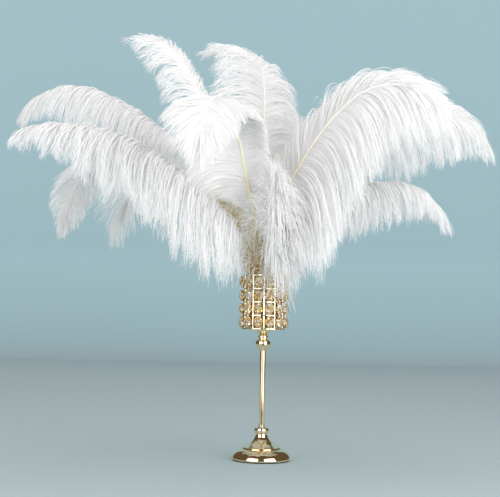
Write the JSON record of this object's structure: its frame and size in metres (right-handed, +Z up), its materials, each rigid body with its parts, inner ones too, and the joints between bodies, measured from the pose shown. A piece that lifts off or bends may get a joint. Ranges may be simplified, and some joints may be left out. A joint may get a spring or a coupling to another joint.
{
  "type": "vase of ostrich feathers",
  "caption": "White ostrich plumes arching out in all directions from a gold candle cup hung with clear crystals, on a thin stem and a round turned foot.",
  "frame": {"origin": "the middle of the underside of the pad that the foot stands on", "axes": "+Z up, +X to the right and +Y away for someone who faces the side in the picture"},
  "size_m": [0.8669, 0.6533, 0.7325],
  "materials": {
    "gold": "polished champagne gold plating",
    "crystal": "clear cut crystal",
    "black felt": "felt",
    "plume": "white down and barbs"
  },
  "bodies": {
    "root": {"foot_pad": "black felt", "foot": "gold", "stem": "gold", "knop": "gold", "cup_frame": "gold", "crystal_strand_01": "crystal", "crystal_strand_02": "crystal", "crystal_strand_03": "crystal", "crystal_strand_04": "crystal", "crystal_strand_05": "crystal", "crystal_strand_06": "crystal", "crystal_strand_07": "crystal", "crystal_strand_08": "crystal", "crystal_strand_09": "crystal", "crystal_strand_10": "crystal", "crystal_strand_11": "crystal", "crystal_strand_12": "crystal", "feather_left_front": "plume", "feather_left_upper": "plume", "feather_left_rear": "plume", "feather_back_left": "plume", "feather_top_left": "plume", "feather_top": "plume", "feather_front": "plume", "feather_right_front": "plume", "feather_right_far": "plume", "feather_right_low": "plume", "feather_front_right": "plume", "feather_back_right": "plume", "feather_back": "plume"}
  },
  "joints": []
}
